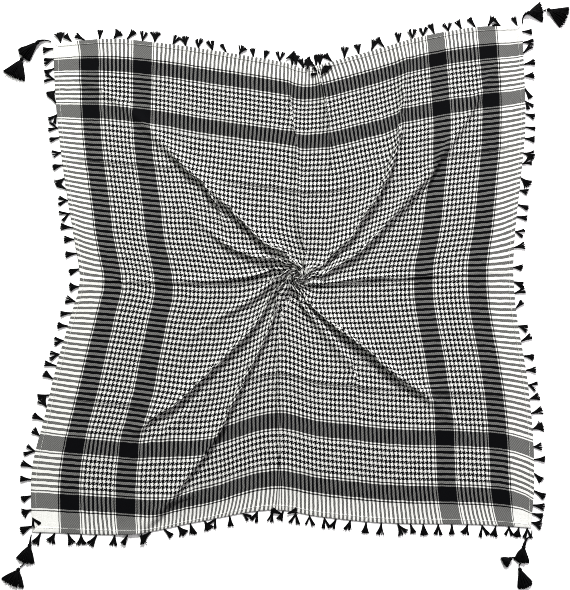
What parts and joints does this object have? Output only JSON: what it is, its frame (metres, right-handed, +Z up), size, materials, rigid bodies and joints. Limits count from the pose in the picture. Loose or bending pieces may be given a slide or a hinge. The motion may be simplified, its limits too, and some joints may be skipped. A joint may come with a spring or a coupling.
{
  "type": "keffiyeh headscarf",
  "caption": "Square black and off-white houndstooth cotton headscarf with tasselled edges, laid flat with its middle twisted into a small knob.",
  "frame": {"origin": "middle of the twist, on the surface that the cloth rests on", "axes": "+Z up from the surface, +Y to the top side of the scarf, +X to its right side"},
  "size_m": [1.3426, 1.3488, 0.0225],
  "materials": {
    "weave": "matt",
    "hem_cotton": "matt",
    "tassel_yarn": "matt"
  },
  "bodies": {
    "root": {"cloth": "weave", "twist_knob": "weave", "hem_top": "hem_cotton", "hem_left": "hem_cotton", "hem_bottom": "hem_cotton", "hem_right": "hem_cotton", "fringe_top": "tassel_yarn", "fringe_left": "tassel_yarn", "fringe_bottom": "tassel_yarn", "fringe_right": "tassel_yarn", "cord_top_left_a": "tassel_yarn", "cord_top_left_b": "tassel_yarn", "cord_top_right_a": "tassel_yarn", "cord_top_right_b": "tassel_yarn", "cord_bottom_left_a": "tassel_yarn", "cord_bottom_left_b": "tassel_yarn", "cord_bottom_right_a": "tassel_yarn", "cord_bottom_right_b": "tassel_yarn", "cord_bottom_right_c": "tassel_yarn", "tassel_top_left_1": "tassel_yarn", "tassel_top_left_2": "tassel_yarn", "tassel_top_right_1": "tassel_yarn", "tassel_top_right_2": "tassel_yarn", "tassel_bottom_left_1": "tassel_yarn", "tassel_bottom_left_2": "tassel_yarn", "tassel_bottom_right_1": "tassel_yarn", "tassel_bottom_right_2": "tassel_yarn", "tassel_bottom_right_3": "tassel_yarn"}
  },
  "joints": []
}
